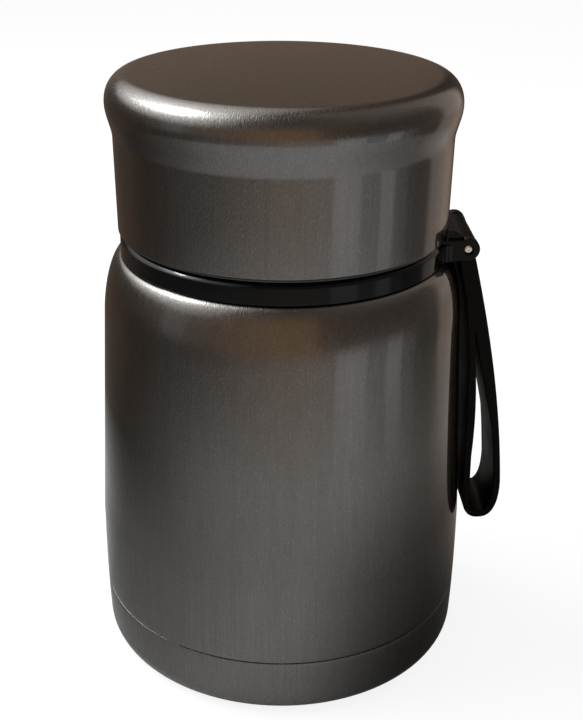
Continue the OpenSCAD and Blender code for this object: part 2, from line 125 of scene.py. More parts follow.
# Lid.
LID_Z, EDGE_Z, EDGE_R, SKIRT_R = low("lid_liner"), low("lid_shell"), 41.45, 41.95
RIM_R, RIM_W, RIM_H, RIM_POWER = reach("lid_shell"), 6.0, 6.6, 2.2
SKIRT_H, FLARE_H, CROWN_H = 23.1, 8.7, 0.5
LINER_WALL, LID_SEAL_T = 1.4, 1.6
LINER_IN, LEDGE_IN = HEAD_R + THREAD_GAP, HEAD_IN - 0.4

# Hood over the hinge: clear of the lid's edge, and how high it rises.
HOOD_IN, HOOD_Z = EDGE_R + TURN_GAP, RING_TOP + 2.0

# Threads: each start rises by LEAD in a full turn, and goes round by RIB_SPAN degrees. The last row is how
# far above its wall's foot the thread starts: in the lid, on the head, in the skirt and on the neck.
LEAD, STARTS, RIB_SPAN, RIB_W, RIB_H = 12.0, 3, 100, 1.3, 0.7
LID_RIB_UP, HEAD_RIB_UP, SKIRT_RIB_UP, NECK_RIB_UP = 3.2, 5.2, 2.6, 0.9

# Camera: where the photograph was taken from, and what its lens took in.
CAM_BACK, CAM_UP, CAM_PITCH, CAM_TURN, CAM_ROLL = 311.6, 218.9, 21.49, -2.3, 0.42
CAM_LENS, CAM_SHIFT_X, CAM_SHIFT_Y = 64.89, 0.0124, -0.0972

# Faces around a turned piece and around a bar, and steps along a quarter of a curve.
AROUND, ROD_AROUND = 192, 48
STEPS = 24


# ------------------------------------------------------------ lines in a plane

def arc(cx, cz, rx, rz, start, end, power=2.0, steps=STEPS):
    """Points of an elliptical arc, or of a squarer or softer one where power isn't 2."""
    points = []
    for i in range(steps + 1):
        a = math.radians(start + (end - start) * i / steps)
        c, s = math.cos(a), math.sin(a)
        points.append((
            cx + rx * math.copysign(abs(c) ** (2 / power), c),
            cz + rz * math.copysign(abs(s) ** (2 / power), s),
        ))
    return points


def curve(p0, p1, p2, p3):
    """Points of a cubic curve between two ends."""
    points = []
    for i in range(2 * STEPS + 1):
        t = i / (2 * STEPS)
        w = ((1 - t) ** 3, 3 * (1 - t) ** 2 * t, 3 * (1 - t) * t * t, t ** 3)
        points.append(tuple(sum(k * p[axis] for k, p in zip(w, (p0, p1, p2, p3))) for axis in (0, 1)))
    return points


def softened(points, radius, steps=4):
    """A closed line with each corner rounded off, by no more than 0.45 of its shorter side."""
    share, nearly_straight = 0.45, math.radians(160)
    soft = []
    for i, here in enumerate(points):
        here = Vector(here)
        before, after = Vector(points[i - 1]), Vector(points[(i + 1) % len(points)])
        back, on = before - here, after - here
        if back.length < TINY or on.length < TINY:
            continue
        if here.x < TINY or back.angle(on) > nearly_straight:
            soft.append(tuple(here))
            continue
        cut = min(radius, share * back.length, share * on.length)
        first, last = here + back.normalized() * cut, here + on.normalized() * cut
        for k in range(steps + 1):
            t = k / steps
            soft.append(tuple((1 - t) ** 2 * first + 2 * t * (1 - t) * here + t * t * last))
    return soft


def moved_in(points, distance):
    """A closed line moved to the left of its own direction, with mitred corners."""
    moved = []
    for i, here in enumerate(points):
        here = Vector(here)
        a = (here - Vector(points[i - 1])).normalized()
        b = (Vector(points[(i + 1) % len(points)]) - here).normalized()
        side_a, side_b = Vector((-a.y, a.x)), Vector((-b.y, b.x))
        side = (side_a + side_b).normalized()
        moved.append(tuple(here + side * distance / max(0.5, side.dot(side_a))))
    return moved


def across(line, z):
    """Where a line that runs up or down crosses a height."""
    ordered = sorted((p[1], p[0]) for p in line)
    if z <= ordered[0][0]:
        return ordered[0][1]
    for (z0, x0), (z1, x1) in zip(ordered, ordered[1:]):
        if z <= z1:
            return x0 if z1 == z0 else x0 + (x1 - x0) * (z - z0) / (z1 - z0)
    return ordered[-1][1]


def belly_r(z, inset=0.0):
    """Radius of the swell from the base corner up to the widest part."""
    t = (z - BASE_CORNER_H) / (BELLY_Z - BASE_CORNER_H)
    return BODY_R - inset - BASE_IN * (1 - t) ** 3


def side_line(from_z, inset):
    heights = [from_z + (BELLY_Z - from_z) * i / STEPS for i in range(STEPS + 1)]
    return [(belly_r(z, inset), z) for z in heights]


def shoulder_line(inset):
    """The shoulder from where it leans in as much as the wall does, so that the two meet without a crease."""
    line = arc(
        RING_R - inset, SHOULDER_Z, BODY_R - SHOULDER_IN - RING_R, SEAT_Z - SHOULDER_Z - inset, 0, 90,
        SHOULDER_POWER, 2 * STEPS,
    )
    lean = SHOULDER_IN / (SHOULDER_Z - BELLY_Z)
    first = next(i for i, (a, b) in enumerate(zip(line, line[1:])) if a[0] - b[0] > lean * (b[1] - a[1]))
    return line[first:]


def lid_line(inset):
    """Outer line of the lid from its lower edge to the middle of its top."""
    flare_z = EDGE_Z + SKIRT_H
    rim_z = flare_z + FLARE_H
    points = [(EDGE_R - inset, EDGE_Z)]
    for i in range(STEPS + 1):
        t = i / STEPS
        points.append((SKIRT_R - inset + (RIM_R - SKIRT_R) * t * t * (3 - 2 * t), flare_z + FLARE_H * t))
    rim = arc(RIM_R - RIM_W, rim_z, RIM_W - inset, RIM_H - inset, 0, 90, RIM_POWER, 3 * STEPS)[1:]
    top_z = rim_z + RIM_H - inset
    rim += [((RIM_R - RIM_W) * (1 - i / STEPS), top_z) for i in range(1, STEPS + 1)]
    return points + [(r, z + CROWN_H * (1 - (r / RIM_R) ** 2)) for r, z in rim]


# ------------------------------------------------------------------- meshes

def link_mesh(name, bm):
    mesh = bpy.data.meshes.new(name)
    bm.to_mesh(mesh)
    bm.free()
    obj = bpy.data.objects.new(name, mesh)
    bpy.context.scene.collection.objects.link(obj)
    return obj


def smoothed(bm, smooth_angle):
    """Smooth faces, with a sharp edge wherever the surface turns by more than that angle."""
    bmesh.ops.remove_doubles(bm, verts=bm.verts, dist=1e-7)
    bmesh.ops.recalc_face_normals(bm, faces=bm.faces)
    limit = math.radians(smooth_angle)
    for face in bm.faces:
        face.smooth = True
    for edge in bm.edges:
        edge.smooth = len(edge.link_faces) == 2 and edge.calc_face_angle(0.0) < limit


def new_object(name, bm, body, material, smooth_angle=40):
    """A mesh object from a bmesh, riding on a body."""
    smoothed(bm, smooth_angle)
    obj = link_mesh(name, bm)
    obj.data.materials.append(material)
    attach(obj, body)
    return obj


def held(profile):
    """A closed line with points added near both ends of its long sides, so that they shade flat."""
    long_side, beside = 4.0, 0.12
    points = []
    for here, after in zip(profile, profile[1:] + profile[:1]):
        points.append(here)
        length = math.dist(here, after)
        if length > long_side:
            for t in (beside / length, 1 - beside / length):
                points.append(tuple(a + (b - a) * t for a, b in zip(here, after)))
    return points


def polar(r, angle, z):
    """A place in metres, from a radius, an angle and a height in millimetres."""
    return (r * MM * math.cos(angle), r * MM * math.sin(angle), z * MM)


def skinned(bm, rings):
    """Faces from each ring of vertices to the next, and over the first and the last."""
    for a, b in zip(rings, rings[1:]):
        for k in range(len(a)):
            bm.faces.new((a[k - 1], a[k], b[k], b[k - 1]))
    bm.faces.new(rings[0])
    bm.faces.new(rings[-1])


def turned(profile, around=AROUND):
    """Turns a closed profile of (radius, height) in millimetres about the jar's axis."""
    bm = bmesh.new()
    angles = [2 * math.pi * k / around for k in range(around)]
    rings = []
    for r, z in held(profile):
        if r < TINY:
            rings.append([bm.verts.new((0, 0, z * MM))] * around)
        else:
            rings.append([bm.verts.new(polar(r, a, z)) for a in angles])
    for i, ring in enumerate(rings):
        following = rings[(i + 1) % len(rings)]
        for k in range(around):
            n = (k + 1) % around
            corners = []
            for v in (ring[k], ring[n], following[n], following[k]):
                if v not in corners:
                    corners.append(v)
            if len(corners) > 2:
                bm.faces.new(corners)
    bmesh.ops.recalc_face_normals(bm, faces=bm.faces)
    return bm


def revolve(name, profile, body, material):
    return new_object(name, turned(profile), body, material)


def slab(loops, near, far, edge):
    """Closed lines in x and z, holes clockwise, from y near to y far, with rounded long edges."""
    rounds = 4
    bm = bmesh.new()
    layers = []
    for side, face in ((1, near), (-1, far)):
        half = []
        for k in range(rounds + 1):
            a = math.pi / 2 * k / rounds
            y = face + side * edge * (1 - math.cos(a))
            half.append([
                [bm.verts.new((x * MM, y * MM, z * MM)) for x, z in moved_in(loop, edge * (1 - math.sin(a)))]
                for loop in loops
            ])
        layers += half if side == 1 else half[::-1]
    for cap in (layers[0], layers[-1]):
        edges = []
        for loop in cap:
            edges += [bm.edges.new((loop[i - 1], loop[i])) for i in range(len(loop))]
        bmesh.ops.triangle_fill(bm, edges=edges, use_beauty=True)
    for lower, upper in zip(layers, layers[1:]):
        for a, b in zip(lower, upper):
            for i in range(len(a)):
                bm.faces.new((a[i - 1], a[i], b[i], b[i - 1]))
    bmesh.ops.recalc_face_normals(bm, faces=bm.faces)
    return bm


def flat_faces(obj):
    """Keeps broad faces flat in the shading, beside their rounded edges."""
    shade = obj.modifiers.new("flat_faces", "WEIGHTED_NORMAL")
    shade.keep_sharp = True
    shade.weight = 100


def carved(base, steps):
    """A bmesh with others joined to it or cut from it, in order: steps are (operation, bmesh)."""
    solid = link_mesh("carved", base)
    tools = []
    for operation, bm in steps:
        tool = link_mesh("tool", bm)
        tools.append(tool)
        cut = solid.modifiers.new("cut", "BOOLEAN")
        cut.operation = operation
        cut.solver = "EXACT"
        cut.object = tool
    shaped = solid.evaluated_get(bpy.context.evaluated_depsgraph_get())
    result = bmesh.new()
    result.from_mesh(shaped.to_mesh())
    for obj in [solid] + tools:
        mesh = obj.data
        bpy.data.objects.remove(obj)
        bpy.data.meshes.remove(mesh)
    return result


def rod(radius, near, far, x, z):
    """A plain round bar along y, in millimetres."""
    place = Matrix.Translation((x * MM, (near + far) / 2 * MM, z * MM)) @ Matrix.Rotation(math.pi / 2, 4, "X")
    bm = bmesh.new()
    bmesh.ops.create_cone(
        bm, cap_ends=True, segments=ROD_AROUND, radius1=radius * MM, radius2=radius * MM,
        depth=(far - near) * MM, matrix=place,
    )
    return bm


def rib(name, wall_r, outward, low_z, body, material):
    """The starts of a screw thread on a wall: rounded ribs that run out at both ends."""
    section = [(-0.1, -0.5), (0.55, -0.36), (0.9, -0.2), (1.0, 0.0), (0.9, 0.2), (0.55, 0.36), (-0.1, 0.5)]
    steps, end_share, thin = 72, 1 / 9, 0.35
    bm = bmesh.new()
    for start in range(STARTS):
        rings = []
        for i in range(steps + 1):
            t = i / steps
            size = math.sin(min(1.0, t / end_share, (1 - t) / end_share) * math.pi / 2)
            a = math.radians(360 * start / STARTS + RIB_SPAN * t)
            ring = []
            for out, up in section:
                r = wall_r + outward * RIB_H * (out * size if out > 0 else out)
                z = low_z + LEAD * RIB_SPAN * t / 360 + RIB_W * up * (thin + (1 - thin) * size)
                ring.append(bm.verts.new(polar(r, a, z)))
            rings.append(ring)
        skinned(bm, rings)
    return new_object(name, bm, body, material, 50)


# ---------------------------------------------------------------- materials

class Tree:
    """A short way to write the node tree of a material, or of the world."""

    def __init__(self, name, kinds=bpy.data.materials, shader="Principled BSDF"):
        self.data = kinds.new(name)
        self.data.use_nodes = True
        self.nodes = self.data.node_tree.nodes
        self.links = self.data.node_tree.links
        self.shader = self.nodes[shader]

    def add(self, kind, settings=None, **inputs):
        """A node; its inputs go by name, or by number as i0, i1 and so on."""
        node = self.nodes.new("ShaderNode" + kind)
        for key, value in (settings or {}).items():
            setattr(node, key, value)
        for key, value in inputs.items():
            self.plug(node, key, value)
        return node

    def plug(self, node, key, value):
        socket = node.inputs[int(key[1:])] if key[0] == "i" and key[1:].isdigit() else node.inputs[key]
        if isinstance(value, bpy.types.NodeSocket):
            self.links.new(value, socket)
        else:
            socket.default_value = value

    def set(self, **values):
        """Inputs of the shader, with _ for a space."""
        for key, value in values.items():
            self.plug(self.shader, key.replace("_", " "), value)

    def calc(self, kind, a, b):
        return self.add("Math", {"operation": kind}, i0=a, i1=b).outputs[0]

    def vector(self, kind, a, b=(0, 0, 0)):
        node = self.add("VectorMath", {"operation": kind}, i0=a, i1=b)
        return node.outputs["Value" if kind in ("LENGTH", "DOT_PRODUCT") else "Vector"]

    def scaled(self, x, y, z):
        """Object coordinates in metres, times these."""
        return self.vector("MULTIPLY", self.add("TexCoord").outputs["Object"], (x, y, z))

    def radius(self):
        """Distance from the jar's axis, in metres."""
        return self.vector("LENGTH", self.scaled(1, 1, 0))

    def turn(self, where):
        """The angle around the jar, from 0 at its front to pi at its back."""
        split = self.add("SeparateXYZ", i0=where).outputs
        return self.calc("ARCTAN2", split["X"], self.calc("MULTIPLY", split["Y"], -1.0))

    def wrapped(self, around, along):
        """Places around the jar, and along its line up the wall or in over its top, times these."""
        up = self.add("SeparateXYZ", i0=self.scaled(1, 1, 1)).outputs["Z"]
        place = self.add("CombineXYZ", i0=self.turn(self.scaled(1, 1, 1)), i1=self.radius(), i2=up)
        return self.vector("MULTIPLY", place.outputs[0], (BODY_R * MM * around, along, along))

    def rays(self):
        """1 for what the eye sees, straight or through glass, and 1 for what a reflection shows."""
        paths = self.add("LightPath").outputs
        seen = self.calc("MAXIMUM", paths["Is Camera Ray"], paths["Is Transmission Ray"])
        return seen, paths["Is Glossy Ray"]

    def noise(self, vector, detail=2.0, roughness=0.5):
        node = self.add("TexNoise", Vector=vector, Scale=1.0, Detail=detail, Roughness=roughness)
        return node.outputs["Fac"]

    def ranged(self, value, low, high, from_low=0.0, from_high=1.0):
        node = self.add("MapRange", i0=value, i1=from_low, i2=from_high, i3=low, i4=high)
        return node.outputs["Result"]

    def mixed(self, factor, a, b):
        return self.add("Mix", {"data_type": "RGBA"}, i0=factor, i6=a, i7=b).outputs[2]

    def combined(self, kind, a, b):
        """Two colours added, multiplied or the like."""
        return self.add("Mix", {"data_type": "RGBA", "blend_type": kind}, i0=1.0, i6=a, i7=b).outputs[2]

    def bump(self, height, distance, strength, normal=None):
        node = self.add("Bump", Height=height, Distance=distance, Strength=strength)
        if normal is not None:
            self.plug(node, "Normal", normal)
        return node.outputs["Normal"]


def lacquered_steel():
    """Grey-brown metallic lacquer over steel brushed up and down, with a fine sparkle."""
    t = Tree("lacquered_steel")
    brush = t.noise(t.scaled(2600, 2600, 26), detail=3.0, roughness=0.6)
    streak = t.noise(t.scaled(420, 420, 5))
    flake = t.noise(t.scaled(5200, 5200, 5200), detail=1.0)
    dash = t.noise(t.wrapped(3300, 950), detail=1.0)
    dash = t.calc("MULTIPLY", dash, t.ranged(t.radius(), 0.0, 1.0, 0.004, 0.04))
    cloud = t.noise(t.scaled(26, 26, 16))
    tone = t.mixed(t.ranged(brush, 0.0, 1.0, 0.3, 0.7), (0.080, 0.076, 0.071, 1), (0.104, 0.100, 0.094, 1))
    tone = t.mixed(t.ranged(streak, 0.0, 0.35, 0.4, 0.75), tone, (0.070, 0.067, 0.062, 1))
    tone = t.mixed(t.ranged(flake, 0.0, 0.7, 0.62, 0.74), tone, (0.26, 0.25, 0.24, 1))
    rough = t.ranged(t.noise(t.scaled(900, 900, 40)), 0.25, 0.32, 0.3, 0.7)
    rough = t.calc("ADD", rough, t.ranged(cloud, -0.02, 0.03))
    normal = t.bump(brush, 0.00002, 0.3)
    normal = t.bump(flake, 0.00001, 0.25, normal)
    normal = t.bump(dash, 0.00009, 0.8, normal)
    t.set(Base_Color=tone, Roughness=rough, Metallic=1.0, Normal=normal)
    t.set(Coat_Weight=1.0, Coat_Roughness=0.05, Coat_IOR=1.55)
    t.set(Specular_Tint=(0.45, 0.44, 0.42, 1))
    return t.data


def bare_steel(name, colour, low, high, along):
    """Plain steel with turned or drawn marks: along scales the marks in x, y and z."""
    t = Tree(name)
    mark = t.noise(t.scaled(*along), detail=3.0)
    tone = t.mixed(mark, tuple(0.86 * c for c in colour) + (1,), colour + (1,))
    t.set(Base_Color=tone, Roughness=t.ranged(mark, low, high, 0.3, 0.7), Metallic=1.0)
    t.set(Normal=t.bump(mark, 0.00002, 0.4))
    return t.data


def moulded(name, colour, low, high, grain=2400.0, depth=0.00001, coat=0.0, metallic=0.0, shine=0.5):
    """Moulded plastic or rubber: a fine grain, faint clouds in its gloss, and paler worn edges."""
    t = Tree(name)
    fine = t.noise(t.scaled(grain, grain, grain))
    cloud = t.noise(t.scaled(90, 90, 90), detail=3.0)
    edge = t.add("NewGeometry").outputs["Pointiness"]
    tone = t.mixed(t.ranged(cloud, 0.0, 1.0, 0.3, 0.7), tuple(0.8 * c for c in colour) + (1,), colour + (1,))
    pale = tuple(min(1.0, 1.4 * c + 0.001) for c in colour) + (1,)
    tone = t.mixed(t.ranged(edge, 0.0, 0.5, 0.52, 0.6), tone, pale)
    t.set(Base_Color=tone, Roughness=t.ranged(cloud, low, high, 0.3, 0.7), Metallic=metallic)
    t.set(Normal=t.bump(fine, depth, 0.5), Coat_Weight=coat, Coat_Roughness=0.05, Specular_IOR_Level=shine)
    return t.data


def foam():
    """Fine closed-cell foam."""
    t = Tree("foam")
    cells = t.add("TexVoronoi", Vector=t.scaled(1100, 1100, 1100), Scale=1.0).outputs["Distance"]
    tone = t.mixed(t.ranged(cells, 0.0, 1.0, 0.0, 0.7), (0.62, 0.56, 0.42, 1), (0.86, 0.82, 0.70, 1))
    t.set(Base_Color=tone, Roughness=0.9, Normal=t.bump(cells, 0.0001, 0.6))
    return t.data


def copper_foil():
    """Thin bright foil with fine creases."""
    t = Tree("copper_foil")
    crease = t.add("TexVoronoi", {"feature": "DISTANCE_TO_EDGE"}, Vector=t.scaled(120, 120, 60), Scale=1.0)
    line = t.ranged(crease.outputs["Distance"], 0.0, 1.0, 0.0, 0.12)
    tone = t.mixed(line, (0.45, 0.22, 0.12, 1), (0.78, 0.44, 0.28, 1))
    t.set(Base_Color=tone, Roughness=t.ranged(line, 0.45, 0.2), Metallic=1.0)
    t.set(Normal=t.bump(line, 0.0001, 0.5))
    return t.data


LACQUER = lacquered_steel()
INNER_STEEL = bare_steel("bare_steel", (0.60, 0.585, 0.56), 0.22, 0.38, (300, 300, 6000))
BRIGHT_STEEL = bare_steel("bright_steel", (0.62, 0.62, 0.61), 0.16, 0.3, (5000, 900, 5000))
GLOSS_BLACK = moulded("gloss_black", (0.004, 0.0045, 0.0048), 0.05, 0.10, shine=0.15)
MOULDED_BLACK = moulded("moulded_black", (0.018, 0.018, 0.020), 0.34, 0.46, 1500.0, 0.00003)
SOFT_BLACK = moulded("soft_black", (0.003, 0.003, 0.0026), 0.48, 0.58, 1800.0, 0.00003, shine=0.08)
WHITE_SILICONE = moulded("white_silicone", (0.74, 0.74, 0.71), 0.45, 0.6, 900.0, 0.00002)
GREY_BUTTON = moulded("grey_button", (0.28, 0.28, 0.29), 0.3, 0.42, 1500.0, 0.00003)
FOAM = foam()
FOIL = copper_foil()
BEAD = moulded("glass_bead", (0.06, 0.08, 0.08), 0.08, 0.2, coat=0.5)
GETTER = moulded("getter_metal", (0.16, 0.155, 0.15), 0.6, 0.8, 5000.0, 0.00005, metallic=0.7)

NODE_FINISH = {
    "outer_shell": LACQUER, "base_cap": LACQUER, "lid_shell": LACQUER, "bottom_plate": INNER_STEEL,
    "inner_flask": INNER_STEEL, "getter_clip": INNER_STEEL, "hinge_pin": BRIGHT_STEEL, "port_bead": BEAD,
    "getter": GETTER, "foil_wrap": FOIL, "strap_ring": GLOSS_BLACK, "strap": SOFT_BLACK,
    "stopper_body": MOULDED_BLACK, "stopper_cover": MOULDED_BLACK, "stopper_foam": FOAM, "lid_foam": FOAM,
    "stopper_seal": WHITE_SILICONE, "lid_seal": WHITE_SILICONE, "vent_valve": WHITE_SILICONE,
    "vent_button": GREY_BUTTON, "vent_spring": BRIGHT_STEEL, "lid_liner": MOULDED_BLACK,
}


def dress_frame():
    for name, material in NODE_FINISH.items():
        node = frame["nodes"][name]
        node.data.materials.clear()
        node.data.materials.append(material)


# ------------------------------------------------------------------- pieces

def stand_for(piece, node):
    """The piece shows in place of a CAD node, which is hidden."""
    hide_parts(node)
    return piece


def jar_shell():
    """The outer steel wall: rolled lower edge at the seam, belly, shoulder, seat and neck."""
    outer = [(belly_r(SEAM_Z) - back, SEAM_Z + up) for back, up in ROLL]
    outer += side_line(SEAM_Z + ROLL_H, 0)
    neck_top = MOUTH_Z - STEEL
    outer += shoulder_line(0) + [(NECK_R, SEAT_Z)]
    outer += arc(NECK_R, BEAD_Z, BEAD_R, BEAD_R, -90, 90, steps=8) + [(NECK_R, neck_top)]
    inner = side_line(SEAM_Z, STEEL) + shoulder_line(STEEL)
    inner += [(NECK_IN_R, SEAT_Z - STEEL), (NECK_IN_R, neck_top)]
    stand_for(revolve("shell_skin", outer + inner[::-1], "jar", LACQUER), "outer_shell")


def jar_base():
    """The base cap: rounded corner, a rolled groove in its foot, and a rolled upper edge."""
    cap_top = SEAM_Z - SEAT_GAP
    base_r = BODY_R - BASE_IN
    corner_r = base_r - BASE_CORNER_W
    outer = [(0, 0)] + arc(base_r - GROOVE_INSET, 0, GROOVE_W / 2, GROOVE_W / 4, 180, 0, steps=8)
    outer += arc(corner_r, BASE_CORNER_H, BASE_CORNER_W, BASE_CORNER_H, -90, 0)
    wall_h, levels = cap_top - ROLL_H - BASE_CORNER_H, 8
    heights = [BASE_CORNER_H + wall_h * i / levels for i in range(1, levels + 1)]
    outer += [(belly_r(z), z) for z in heights]
    outer += [(belly_r(cap_top) - back, cap_top - down) for back, down in ROLL[::-1]]
    inner = [(0, STEEL)]
    inner += arc(corner_r, BASE_CORNER_H, BASE_CORNER_W - STEEL, BASE_CORNER_H - STEEL, -90, 0)
    inner.append((belly_r(cap_top, STEEL), cap_top))
    stand_for(revolve("base_skin", outer + inner[::-1], "jar", LACQUER), "base_cap")


def flask():
    """The inner steel wall: rounded floor, narrowing shoulder, and a rolled lip over the neck."""
    def wall(r, floor, corner, neck):
        return [(0, floor)] + arc(r - corner, floor + corner, corner, corner, -90, 0) + arc(
            neck, FLASK_SHOULDER_Z, r - neck, FLASK_NECK_Z - FLASK_SHOULDER_Z, 0, 90
        )
    lip = 0.28
    outer = wall(FLASK_R, FLASK_FLOOR, FLASK_CORNER, MOUTH_R + STEEL)
    outer += [(MOUTH_R + STEEL, MOUTH_Z - STEEL), (NECK_R, MOUTH_Z - STEEL)]
    outer += arc(NECK_R - lip, MOUTH_Z - lip, lip, lip, 0, 90, steps=6)
    outer += arc(MOUTH_R + lip, MOUTH_Z - lip, lip, lip, 90, 180, steps=6)
    inner = wall(FLASK_R - STEEL, FLASK_FLOOR + STEEL, FLASK_CORNER - STEEL, MOUTH_R)
    stand_for(revolve("flask_skin", outer + inner[::-1], "jar", INNER_STEEL), "inner_flask")


def lid_skin():
    """The lid's steel skin: hemmed lower edge, skirt, flare, rounded rim and crown."""
    hem = ((0.45, 0.01), (0.06, 0.01), (0.01, 0.07))
    outer = [(EDGE_R - back, EDGE_Z + up) for back, up in hem] + lid_line(0)[1:]
    stand_for(revolve("lid_skin", outer + lid_line(STEEL)[::-1], "lid", LACQUER), "lid_shell")


def lid_inside():
    """The moulded liner: lip under the skirt, thread wall, ledge for the seal, and the cup."""
    cup_r = LEDGE_IN + LINER_WALL
    ledge_z = HEAD_TOP + TURN_GAP + LID_SEAL_T
    cup_top = top("lid_liner")
    corner = 5.0
    wall_top = cup_top - corner - 0.5
    lip_r, lip_top = EDGE_R - 0.4, EDGE_Z - SEAT_GAP
    outer = softened([
        (LINER_IN, LID_Z), (lip_r, LID_Z), (lip_r, lip_top), (LINER_IN + LINER_WALL, lip_top),
        (LINER_IN + LINER_WALL, ledge_z + LINER_WALL), (cup_r, ledge_z + LINER_WALL),
        (cup_r, wall_top), (LEDGE_IN, wall_top), (LEDGE_IN, ledge_z), (LINER_IN, ledge_z),
    ], 0.3)
    cut = [i for i, p in enumerate(outer) if p[1] > wall_top - 0.5]
    dome = arc(cup_r - corner, cup_top - corner, corner, corner, 0, 90)
    dome += [(0, cup_top), (0, cup_top - LINER_WALL)]
    inner_corner = corner - LINER_WALL
    dome += arc(cup_r - corner, cup_top - corner, inner_corner, inner_corner, 90, 0)
    profile = outer[:cut[0]] + dome + outer[cut[-1] + 1:]
    stand_for(revolve("liner_skin", profile, "lid", MOULDED_BLACK), "lid_liner")
    rib("lid_thread", LINER_IN, -1, LID_Z + LID_RIB_UP, "lid", MOULDED_BLACK)


def washer(name, inside, body, node):
    """A moulded sealing ring with rounded edges and a fine raised bead under it."""
    bead, bead_half = 0.06, 0.5
    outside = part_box(node)[1][1] / MM
    low_z, high_z = low(node) + bead, top(node)
    middle = (inside + outside) / 2
    profile = softened([(inside, low_z), (outside, low_z), (outside, high_z), (inside, high_z)], 0.35)
    at = next(i for i, p in enumerate(profile) if p[0] > middle and p[1] < (low_z + high_z) / 2)
    profile[at:at] = arc(middle, low_z, bead_half, bead, 180, 360, steps=8)
    stand_for(revolve(name, profile, body, WHITE_SILICONE), node)


def seals():
    washer("lid_gasket_ring", LEDGE_IN + TURN_GAP, "lid_gasket", "lid_seal")
    washer("stopper_gasket_ring", PLUG_R + TURN_GAP, "stopper_gasket", "stopper_seal")


def stopper():
    """The plug with its threaded head, and the threads that it meets."""
    deck_z = MOUTH_Z + SEAL_T
    deck_top = deck_z + STOPPER_WALL
    skirt_in = NECK_R + THREAD_GAP
    skirt_z = RING_Z + RING_WEB + 2 * TURN_GAP + 2 * BEAD_R
    plug_in = PLUG_R - STOPPER_WALL
    tube_top = low("stopper_cover") - SEAT_GAP
    body = softened([
        (TUBE_IN, PLUG_Z), (PLUG_R, PLUG_Z), (PLUG_R, deck_z), (skirt_in, deck_z), (skirt_in, skirt_z),
        (HEAD_R, skirt_z), (HEAD_R, HEAD_TOP), (HEAD_IN, HEAD_TOP), (HEAD_IN, deck_top), (plug_in, deck_top),
        (plug_in, PLUG_Z + STOPPER_WALL), (TUBE_R, PLUG_Z + STOPPER_WALL), (TUBE_R, tube_top),
        (TUBE_IN, tube_top),
    ], 0.45)
    stand_for(revolve("stopper_skin", body, "stopper", MOULDED_BLACK), "stopper_body")
    rib("stopper_thread", HEAD_R, 1, LID_Z + HEAD_RIB_UP, "stopper", MOULDED_BLACK)
    rib("stopper_neck_thread", skirt_in, -1, skirt_z + SKIRT_RIB_UP, "stopper", MOULDED_BLACK)
    rib("neck_thread", NECK_R, 1, skirt_z + NECK_RIB_UP, "jar", INNER_STEEL)


def stopper_cover():
    """The cover over the stopper's foam, with a groove around it and the button's well."""
    cover_low = low("stopper_cover")
    well_r, well_wall, well_slope = BUTTON_R + TURN_GAP, 1.2, 1.0
    well_floor = cover_low + well_wall
    under = HEAD_TOP - STOPPER_WALL
    groove_r, groove_w, groove_slope, groove_h = HEAD_IN - 3.0, 1.4, 0.2, 0.35
    sunk = HEAD_TOP - groove_h
    cover = [
        (TUBE_IN, cover_low), (well_r + well_wall, cover_low), (well_r + well_wall, under),
        (HEAD_IN - SEAT_GAP, under), (HEAD_IN - SEAT_GAP, HEAD_TOP), (groove_r, HEAD_TOP),
        (groove_r - groove_slope, sunk), (groove_r - groove_w + groove_slope, sunk),
        (groove_r - groove_w, HEAD_TOP), (well_r + well_wall + well_slope, HEAD_TOP),
        (well_r + well_wall, sunk), (well_r, sunk), (well_r, well_floor), (TUBE_IN, well_floor),
    ]
    stand_for(revolve("cover_skin", softened(cover, 0.25), "stopper", MOULDED_BLACK), "stopper_cover")


def vent_button():
    """The vent's button, dished on top, with its stem and the foot that holds the valve."""
    stem_low = low("vent_button")
    foot_r, foot_top = STEM_R + FOOT_W, stem_low + FOOT_H
    under = BUTTON_TOP - BUTTON_H
    dish_z, dish_edge = BUTTON_TOP - 0.7, 2.2
    button = [
        (0, stem_low), (foot_r, stem_low), (foot_r, foot_top), (STEM_R, foot_top), (STEM_R, under),
        (BUTTON_R, under), (BUTTON_R, BUTTON_TOP), (BUTTON_R - dish_edge, BUTTON_TOP),
        (BUTTON_R * 0.4, dish_z + 0.05), (0, dish_z),
    ]
    stand_for(revolve("button_skin", softened(button, 0.6, 6), "vent", GREY_BUTTON), "vent_button")


def spring():
    """The vent's spring: wire in a helix, a close turn at each end."""
    wire_r, turns, travel = 0.3, 4, 2.0
    per_turn, sides = 72, 16
    foot, head = low("vent_spring"), top("vent_spring")
    coil_r = reach("vent_spring") - wire_r
    close_rise = 2.2 * wire_r
    open_rise = head - foot - 2 * wire_r - 2 * close_rise
    bm = bmesh.new()
    rings = []
    for i in range(turns * per_turn + 1):
        t = i / per_turn
        z = foot + wire_r + close_rise * (min(t, 1) + max(0, t - turns + 1))
        z += open_rise * min(1, max(0, t - 1) / (turns - 2))
        ring = []
        for k in range(sides):
            b = math.tau * k / sides
            r, up = wire_r * math.cos(b), wire_r * math.sin(b)
            ring.append(bm.verts.new(polar(coil_r + r, math.tau * t, z + up)))
        rings.append(ring)
    skinned(bm, rings)
    coil = stand_for(new_object("spring_skin", bm, "stopper", BRIGHT_STEEL, 50), "vent_spring")
    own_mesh(coil)


